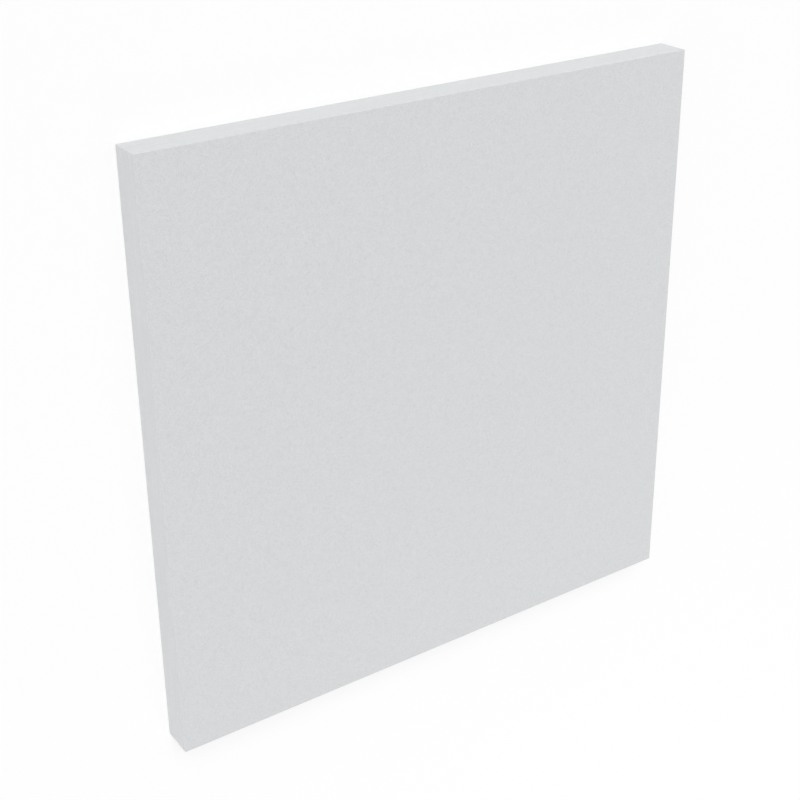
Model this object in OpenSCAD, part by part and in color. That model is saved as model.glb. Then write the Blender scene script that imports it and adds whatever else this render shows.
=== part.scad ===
// A square sound-absorbing wall panel: one rigid board of compressed fibre, cut to size.
// The board lies on its back: the back is on z = 0 and the face looks up, along +Z.
// The origin is the middle of the back. The edge that is uppermost on a wall looks along +Y.

/* [Board] */
// Width of the board, along X
panel_width = 600; // [300:5:1200]
// Height of the board as it hangs on a wall, along Y
panel_height = 600; // [300:5:1200]
// Thickness of the board from back to face, along Z
panel_thickness = 35; // [20:1:100]

/* [Edges] */
// Radius that eases the long arrises, round the face and round the back
arris_radius = 0.5; // [0.25:0.25:6]
// Radius of the four corners of the outline
corner_radius = 0.5; // [0.25:0.25:20]

/* [Hidden] */
// Segments of a full circle on screen
arc_segments = 48;

// A rectangle about the origin whose four corners are true arcs
module rounded_rectangle(width, height, radius) {
    straight_width = width - 2 * radius;
    straight_height = height - 2 * radius;
    square([width, straight_height], center = true);
    square([straight_width, height], center = true);
    for (side_x = [-1, 1], side_y = [-1, 1])
        translate([side_x * straight_width / 2, side_y * straight_height / 2])
            circle(r = radius, $fn = arc_segments);
}

// The outline of the face, drawn through the whole thickness
module outline_prism() {
    linear_extrude(height = panel_thickness, center = true)
        rounded_rectangle(panel_width, panel_height, corner_radius);
}

// The section across the width, which eases the arrises of the left and right edges
module width_section_prism() {
    rotate([90, 0, 0])
        linear_extrude(height = panel_height, center = true)
            rounded_rectangle(panel_width, panel_thickness, arris_radius);
}

// The section across the height, which eases the arrises of the top and bottom edges
module height_section_prism() {
    rotate([90, 0, 90])
        linear_extrude(height = panel_width, center = true)
            rounded_rectangle(panel_height, panel_thickness, arris_radius);
}

// The whole board: what its outline and its two sections share
module panel() {
    color([0.842, 0.851, 0.855])
        translate([0, 0, panel_thickness / 2])
            intersection() {
                outline_prism();
                width_section_prism();
                height_section_prism();
            }
}

panel();
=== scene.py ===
"""The looks of a square sound-absorbing wall panel: a pale, matt board of compressed fibre, on its back."""
import math
from collections import namedtuple

import bpy
import numpy as np
from mathutils import Matrix, Vector, noise


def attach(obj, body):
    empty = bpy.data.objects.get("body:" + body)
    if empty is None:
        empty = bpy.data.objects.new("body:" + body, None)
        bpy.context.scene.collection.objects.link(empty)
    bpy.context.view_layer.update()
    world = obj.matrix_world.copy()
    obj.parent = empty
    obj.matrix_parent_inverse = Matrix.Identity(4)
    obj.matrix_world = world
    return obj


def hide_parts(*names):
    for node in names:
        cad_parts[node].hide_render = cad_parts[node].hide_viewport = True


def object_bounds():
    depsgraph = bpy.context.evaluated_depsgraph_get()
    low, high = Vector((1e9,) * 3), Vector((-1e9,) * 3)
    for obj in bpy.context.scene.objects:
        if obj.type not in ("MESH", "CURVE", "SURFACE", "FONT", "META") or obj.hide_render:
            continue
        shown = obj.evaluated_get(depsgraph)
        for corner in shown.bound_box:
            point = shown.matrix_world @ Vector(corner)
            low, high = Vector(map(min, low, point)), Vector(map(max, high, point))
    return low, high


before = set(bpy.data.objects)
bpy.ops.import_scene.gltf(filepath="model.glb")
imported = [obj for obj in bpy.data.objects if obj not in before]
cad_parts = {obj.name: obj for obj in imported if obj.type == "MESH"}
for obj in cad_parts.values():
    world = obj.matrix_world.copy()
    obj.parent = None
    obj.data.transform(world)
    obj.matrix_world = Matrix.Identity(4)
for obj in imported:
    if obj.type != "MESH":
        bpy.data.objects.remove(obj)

cad_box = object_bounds()
LOW, HIGH = cad_box
MIDDLE = (LOW + HIGH) / 2
HALF = (HIGH - LOW) / 2
WIDTH = HIGH.x - LOW.x
MM = 0.001

# Camera: places in board widths from the middle of the board, and the frame's rise in frame widths
CAMERA_PLACE = Vector((-1.2521, 1.0872, 1.8007))
CAMERA_AIM = Vector((-0.0782, 0.1237, 0.0304))
CAMERA_ROLL = math.radians(-0.62)
LENS_MM = 66.58
SENSOR_MM = 36
FRAME_RISE = -0.0783

# Light, as shares of what falls on the board's face: the studio's walls, and a wide soft key lamp from
# the top left, whose share is its Z. A weak fill lamp, in board widths, is beyond the bottom right corner.
WALL_LIGHT = 0.65
KEY_TOWARDS = Vector((-0.14, 0.266, 0.33))
KEY_ANGLE = math.radians(40)
FILL_PLACE = Vector((0.5, -2.5, 2.1))
FILL_SIZE = 1.0
FILL_WATTS = 1.2

# Floor: its white, how much of that white the camera sees in place of its lit shade, and its reach in
# board widths
PAPER_WHITE = 0.99
FLOOR_GLOW = 0.5
FLOOR_REACH = 40

# Shape of the board: the radius of its arrises, the steps in each half of an arris, and a grid that is
# even over each side and begins just beside the arris
EDGE_RADIUS = 0.5 * MM
ARC_STEPS = 3
GRID_STEP = 4 * MM
SUPPORT_GAP = 0.5 * MM

# Unevenness: how wide and deep each ripple is, and a shift that makes it unlike the others. The waves
# on the cut sides are stretched through the thickness, by 1 / CUT_RUN.
Ripple = namedtuple("Ripple", "width depth shift")
SWELLS = (Ripple(70 * MM, 0.16 * MM, 3), Ripple(18 * MM, 0.04 * MM, 4))
CUT_WAVES = (Ripple(50 * MM, 0.12 * MM, 7), Ripple(12 * MM, 0.05 * MM, 8))
CUT_RUN = 0.3
ARRIS_WEAR = Ripple(16 * MM, 0.12 * MM, 11)

# The map of the board's sides: the name that the export looks for, the width of the face on the map,
# and the gap between sides
MAP_NAME = "OFBake"
MAP_FACE = 0.74
MAP_GAP = 0.006

# Fibres: each set is smooth noise, stretched to a length, width and depth along a few directions in the
# board's plane, in degrees. The patterns are numbered on from first, and each is shifted by its number.
Fibres = namedtuple("Fibres", "turns first size")
SHORT = Fibres((8, 44, 81, 117, 153), 0, (6 * MM, 0.22 * MM, 0.18 * MM))
BUNDLES = Fibres((25, 70, 115, 160), 5, (12 * MM, 1.6 * MM, 0.6 * MM))
LOOSE = Fibres((20, 62, 101, 139, 172), 9, (5 * MM, 0.9 * MM, 0.6 * MM))
LAYERS = Fibres((0,), 14, (60 * MM, 60 * MM, 1.1 * MM))
PATTERN_SHIFT = Vector((0.13, 0.07, 0.05))
CLUMP_SIZE = 4 * MM
FINER_OCTAVES = 2

# Curl: the width of the swirls that bend a set's fibres, and how far a swirl pushes them aside
SHORT_CURL = (7 * MM, 1.7 * MM)
BUNDLE_CURL = (20 * MM, 4 * MM)

# Where a fibre shows: the two values of the noise between which it rises to its full height, and how
# near the noise has to be to its middle value for a loose fibre
SHORT_RISE = (0.5, 0.72)
BUNDLE_RISE = (0.42, 0.75)
LOOSE_LINE = 0.04

# Finish: the mean linear colour, and for each part of the finish the mean of its value, and what a value
# of 1 adds to the brightness, to the fine relief and to the broad relief
FIBRE_GREY = Vector((0.678, 0.693, 0.702))
Effect = namedtuple("Effect", "mean bright fine broad")
SHORT_EFFECT = Effect(0.68, 0.075, 0.6, 0)
BUNDLE_EFFECT = Effect(0.67, 0.055, 0, 0.4)
LOOSE_EFFECT = Effect(0.43, 0.075, 0.4, 0)
CLUMP_EFFECT = Effect(0.5, 0.025, 0, 1)
LAYER_EFFECT = Effect(0, 0.14, 0, 1.5)
FINE_STRENGTH, FINE_HEIGHT = 0.7, 0.10 * MM
BROAD_STRENGTH, BROAD_HEIGHT = 0.6, 0.25 * MM
GAP_ROUGHNESS, FIBRE_ROUGHNESS = 1.0, 0.88


def link(thing):
    """Puts a new object in the scene."""
    bpy.context.scene.collection.objects.link(thing)
    return thing


def make_camera():
    data = bpy.data.cameras.new("camera")
    data.lens = LENS_MM
    data.sensor_width = SENSOR_MM
    data.shift_y = FRAME_RISE
    camera = link(bpy.data.objects.new("camera", data))
    place = MIDDLE + WIDTH * CAMERA_PLACE
    forward = (CAMERA_AIM - CAMERA_PLACE).normalized()
    right = forward.cross(Vector((0, 1, 0))).normalized()
    up = right.cross(forward)
    turn = Matrix((right, up, -forward)).transposed().to_4x4()
    camera.matrix_world = Matrix.Translation(place) @ turn @ Matrix.Rotation(CAMERA_ROLL, 4, "Z")
    bpy.context.scene.camera = camera


# ---- node trees -------------------------------------------------------------------------------

def new_tree(owner):
    """An empty node tree for a material or a world."""
    owner.use_nodes = True
    owner.node_tree.nodes.clear()
    return owner.node_tree


def add_node(tree, kind, inputs=None, **settings):
    """A new shader node. An input is given as a value, or as another node's output to link."""
    made = tree.nodes.new("ShaderNode" + kind)
    for name, value in settings.items():
        setattr(made, name, value)
    for name, value in (inputs or {}).items():
        if isinstance(value, bpy.types.NodeSocket):
            tree.links.new(value, made.inputs[name])
        else:
            made.inputs[name].default_value = value
    return made


def maths(tree, operation, *values):
    """The outcome of a Math node."""
    return add_node(tree, "Math", dict(enumerate(values)), operation=operation).outputs[0]


def vector_maths(tree, operation, a, b):
    """The outcome of a Vector Math node. To scale a, b is a number."""
    name = "Scale" if operation == "SCALE" else 1
    return add_node(tree, "VectorMath", {0: a, name: b}, operation=operation).outputs[0]


def highest(tree, values):
    """The highest of several values."""
    top = values[0]
    for value in values[1:]:
        top = maths(tree, "MAXIMUM", top, value)
    return top


def weighted(tree, parts, start=0.0):
    """The start, plus each part's value times its weight."""
    total = start
    for value, weight in parts:
        if weight:
            total = maths(tree, "MULTIPLY_ADD", value, weight, total)
    return total


def ramp(tree, value, low, high, start=0.0, end=1.0):
    """A smooth step from start, where the value is low, to end, where it is high."""
    return add_node(
        tree, "MapRange",
        {"Value": value, "From Min": low, "From Max": high, "To Min": start, "To Max": end},
        interpolation_type="SMOOTHSTEP",
    ).outputs["Result"]


def blotches(tree, place, size=1.0, detail=0.0, output="Fac"):
    """Smooth noise from 0 to 1, in blotches about size across."""
    made = add_node(tree, "TexNoise", {"Vector": place, "Scale": 1 / size, "Detail": detail})
    return made.outputs[output]


# ---- the finish -------------------------------------------------------------------------------

def bent(tree, place, width, push):
    """The place pushed about by up to push, in swirls of a width, so that straight streaks curl."""
    swirl = blotches(tree, place, width, output="Color")
    swirl = vector_maths(tree, "SUBTRACT", swirl, (0.5, 0.5, 0.5))
    return vector_maths(tree, "ADD", place, vector_maths(tree, "SCALE", swirl, 2 * push))


def grains(tree, place, fibres, detail=0.0):
    """Noises from 0 to 1, stretched to the size of a set's fibres, one along each of its directions."""
    made = []
    for number, degrees in enumerate(fibres.turns, fibres.first):
        along = add_node(
            tree, "Mapping",
            {
                "Vector": place,
                "Location": number * PATTERN_SHIFT,
                "Rotation": (0, 0, math.radians(degrees)),
                "Scale": fibres.size,
            },
            vector_type="TEXTURE",
        ).outputs[0]
        made.append(blotches(tree, along, detail=detail))
    return made


def matted_fibres(tree, place, fibres, curl, rise):
    """Height from 0 to 1 of fibres matted over each other: the high parts of each direction's noise."""
    bed = bent(tree, place, *curl)
    return highest(tree, [ramp(tree, grain, *rise) for grain in grains(tree, bed, fibres)])


def loose_fibres(tree, place):
    """Height from 0 to 1 of loose fibres: the thin lines where each direction's noise is at its middle."""
    lines = []
    for grain in grains(tree, place, LOOSE):
        off = maths(tree, "ABSOLUTE", maths(tree, "SUBTRACT", grain, 0.5))
        lines.append(ramp(tree, off, 0.0, LOOSE_LINE, 1.0, 0.0))
    return highest(tree, lines)


def cut_layers(tree, place):
    """The thin layers that the cut sides show, from -0.5 to 0.5, and 0 on the faces."""
    layers = maths(tree, "SUBTRACT", grains(tree, place, LAYERS, FINER_OCTAVES)[0], 0.5)
    out = add_node(tree, "TexCoord").outputs["Normal"]
    upwards = add_node(tree, "SeparateXYZ", {0: out}).outputs["Z"]
    cut = maths(tree, "SUBTRACT", 1.0, maths(tree, "MULTIPLY", upwards, upwards))
    return maths(tree, "MULTIPLY", layers, cut)


def fibre_material():
    """Dyed fibre, pressed flat: the fibres lie along the faces, and the cut sides show their layers."""
    material = bpy.data.materials.new("fibre_board")
    tree = new_tree(material)
    place = add_node(tree, "TexCoord").outputs["Object"]
    short = matted_fibres(tree, place, SHORT, SHORT_CURL, SHORT_RISE)
    parts = (
        (short, SHORT_EFFECT),
        (matted_fibres(tree, place, BUNDLES, BUNDLE_CURL, BUNDLE_RISE), BUNDLE_EFFECT),
        (loose_fibres(tree, place), LOOSE_EFFECT),
        (blotches(tree, place, CLUMP_SIZE, FINER_OCTAVES), CLUMP_EFFECT),
        (cut_layers(tree, place), LAYER_EFFECT),
    )
    plain = 1 - sum(effect.mean * effect.bright for _, effect in parts)
    bright = weighted(tree, [(value, effect.bright) for value, effect in parts], plain)
    fine = weighted(tree, [(value, effect.fine) for value, effect in parts])
    broad = weighted(tree, [(value, effect.broad) for value, effect in parts])

    relief = add_node(tree, "Bump", {"Height": fine, "Strength": FINE_STRENGTH, "Distance": FINE_HEIGHT})
    relief = add_node(
        tree, "Bump",
        {
            "Height": broad,
            "Strength": BROAD_STRENGTH,
            "Distance": BROAD_HEIGHT,
            "Normal": relief.outputs["Normal"],
        },
    )
    shader = add_node(
        tree, "BsdfPrincipled",
        {
            "Base Color": vector_maths(tree, "SCALE", FIBRE_GREY, bright),
            "Roughness": ramp(tree, short, 0.0, 1.0, GAP_ROUGHNESS, FIBRE_ROUGHNESS),
            "Specular IOR Level": 0.3,
            "Sheen Weight": 0.25,
            "Sheen Roughness": 0.5,
            "Normal": relief.outputs["Normal"],
        },
    )
    add_node(tree, "OutputMaterial", {"Surface": shader.outputs["BSDF"]})
    return material


# ---- the board --------------------------------------------------------------------------------

def grid_lines(half):
    """Where the grid's lines cross a side of the sharp box: even over the flat, then round each arris."""
    flat = half - EDGE_RADIUS
    inner = flat - SUPPORT_GAP
    middle = np.linspace(-inner, inner, math.ceil(2 * flat / GRID_STEP) + 1)
    arc = EDGE_RADIUS * np.tan(np.linspace(0, math.pi / 4, ARC_STEPS + 1))
    return np.concatenate([-(flat + arc)[::-1], middle, flat + arc])


def side_grid(counts, axis, end):
    """The four-cornered faces of one side. A corner's number is the same on every side that it is on."""
    b, c = (axis + 1) % 3, (axis + 2) % 3
    i, j = np.meshgrid(np.arange(counts[b]), np.arange(counts[c]), indexing="ij")
    cell = np.empty(i.shape + (3,), int)
    cell[..., axis] = end * (counts[axis] - 1)
    cell[..., b], cell[..., c] = i, j
    key = np.ravel_multi_index(np.moveaxis(cell, -1, 0), counts)
    quads = np.stack([key[:-1, :-1], key[1:, :-1], key[1:, 1:], key[:-1, 1:]], -1).reshape(-1, 4)
    return quads if end else quads[:, ::-1]


def ripple_depth(points, ripple):
    """How deep a ripple is at each point, from 0 to its full depth."""
    away = Vector((ripple.shift, -ripple.shift, 2 * ripple.shift))
    values = [0.5 + 0.5 * noise.noise(Vector(point) / ripple.width + away) for point in points]
    return ripple.depth * np.clip(values, 0, 1)


def hollows(points, out):
    """How far each point lies inside the true shape, where out is the direction out of the board."""
    face = out[:, 2] ** 2
    arris = (2 * (1 - (out ** 2).max(1))).clip(0, 1)    # 0 on the flats, and 1 half-way round an arris
    through = points * np.array([1, 1, CUT_RUN])
    swells = sum(ripple_depth(points, ripple) for ripple in SWELLS)
    waves = sum(ripple_depth(through, ripple) for ripple in CUT_WAVES)
    return face * swells + (1 - face) * waves + arris * ripple_depth(points, ARRIS_WEAR)


def rounded(sharp):
    """The points of the sharp box moved onto the board, with its round arrises and its unevenness."""
    flat = np.array(HALF) - EDGE_RADIUS
    core = np.clip(sharp, -flat, flat)
    out = sharp - core
    out /= np.linalg.norm(out, axis=1, keepdims=True)
    points = core + EDGE_RADIUS * out
    return points - out * hollows(points, out)[:, None]


def map_places(sharp, axis, end):
    """Places on the map for one side's points: the face at the bottom left, the cut sides along it, and
    the back at the top right."""
    b, c = (axis + 1) % 3, (axis + 2) % 3
    full = MAP_FACE / WIDTH
    strip = full * 2 * HALF.z
    middle = MAP_GAP + MAP_FACE / 2
    beyond = 2 * MAP_GAP + MAP_FACE + strip / 2 + end * (strip + MAP_GAP)
    back = 1 - MAP_FACE - 3 * MAP_GAP
    corner = 1 - MAP_GAP - back / 2
    across, up, scale = {
        0: (middle, beyond, full),
        1: (beyond, middle, full),
        2: (middle, middle, full) if end else (corner, corner, back / WIDTH),
    }[axis]
    turn = 1 if end else -1
    return np.stack([across + turn * scale * sharp[:, b], up + scale * sharp[:, c]], -1)


def board_mesh():
    """The board's closed skin: six grids on a sharp box, moved onto the rounded, uneven board."""
    lines = [grid_lines(half) for half in HALF]
    counts = [len(line) for line in lines]
    sides = [(axis, end) for axis in range(3) for end in (0, 1)]
    grids = [side_grid(counts, axis, end) for axis, end in sides]
    keys, faces = np.unique(np.concatenate(grids), return_inverse=True)
    faces = faces.reshape(-1, 4)
    at = np.stack(np.unravel_index(keys, counts), -1)
    sharp = np.stack([lines[axis][at[:, axis]] for axis in range(3)], -1)
    mesh = bpy.data.meshes.new("board")
    mesh.from_pydata((rounded(sharp) + np.array(MIDDLE)).tolist(), [], faces.tolist())

    first, places = 0, []
    for (axis, end), grid in zip(sides, grids):
        corners = faces[first:first + len(grid)].ravel()
        places.append(map_places(sharp[corners], axis, end))
        first += len(grid)
    mesh.uv_layers.new(name=MAP_NAME).data.foreach_set("uv", np.concatenate(places).ravel())
    mesh.shade_smooth()
    return mesh


def make_board():
    board = link(bpy.data.objects.new("board", board_mesh()))
    board.data.materials.append(fibre_material())
    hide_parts("panel")
    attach(board, "root")


# ---- the studio -------------------------------------------------------------------------------

def seen_directly(tree):
    """1 for what the camera sees, directly or in a mirror or glass, and 0 for what lights the scene."""
    rays = add_node(tree, "LightPath").outputs
    return highest(tree, [rays["Is Camera Ray"], rays["Is Glossy Ray"], rays["Is Transmission Ray"]])


def make_world():
    """The studio's walls, which light the board evenly and are seen as white."""
    world = bpy.data.worlds.new("studio")
    tree = new_tree(world)
    walls = add_node(tree, "Background", {"Color": (1, 1, 1, 1), "Strength": WALL_LIGHT})
    white = add_node(tree, "Background", {"Color": (1, 1, 1, 1), "Strength": PAPER_WHITE})
    mixed = add_node(tree, "MixShader", {0: seen_directly(tree), 1: walls.outputs[0], 2: white.outputs[0]})
    add_node(tree, "OutputWorld", {"Surface": mixed.outputs[0]})
    bpy.context.scene.world = world


def add_lamp(data, towards):
    """Puts a lamp in the scene, shining from the direction that towards points to."""
    lamp = link(bpy.data.objects.new(data.name, data))
    lamp.rotation_mode = "QUATERNION"
    lamp.rotation_quaternion = towards.to_track_quat("Z", "Y")
    return lamp


def make_key():
    """The key lamp. A sun's strength is pi times the share of light that it gives square on."""
    data = bpy.data.lights.new("key", "SUN")
    data.energy = KEY_TOWARDS.length * math.pi
    data.angle = KEY_ANGLE
    add_lamp(data, KEY_TOWARDS)


def make_fill():
    data = bpy.data.lights.new("fill", "AREA")
    data.shape = "DISK"
    data.size = FILL_SIZE * WIDTH
    data.energy = FILL_WATTS
    add_lamp(data, FILL_PLACE).location = MIDDLE + WIDTH * FILL_PLACE


def make_floor():
    """White paper under the board, which keeps its shadow."""
    reach = FLOOR_REACH * WIDTH
    mesh = bpy.data.meshes.new("floor")
    outline = [(-reach, -reach), (reach, -reach), (reach, reach), (-reach, reach)]
    mesh.from_pydata([(x, y, LOW.z) for x, y in outline], [], [(0, 1, 2, 3)])
    link(bpy.data.objects.new("floor", mesh))
    material = bpy.data.materials.new("floor")
    tree = new_tree(material)
    lit = add_node(tree, "BsdfDiffuse", {"Color": (PAPER_WHITE, PAPER_WHITE, PAPER_WHITE, 1)})
    white = add_node(tree, "Emission", {"Color": (1, 1, 1, 1), "Strength": PAPER_WHITE})
    glow = maths(tree, "MULTIPLY", seen_directly(tree), FLOOR_GLOW)
    mixed = add_node(tree, "MixShader", {0: glow, 1: lit.outputs[0], 2: white.outputs[0]})
    add_node(tree, "OutputMaterial", {"Surface": mixed.outputs[0]})
    mesh.materials.append(material)


bpy.context.scene.view_settings.view_transform = "Standard"
make_camera()
make_world()
make_key()
make_fill()
make_floor()
make_board()
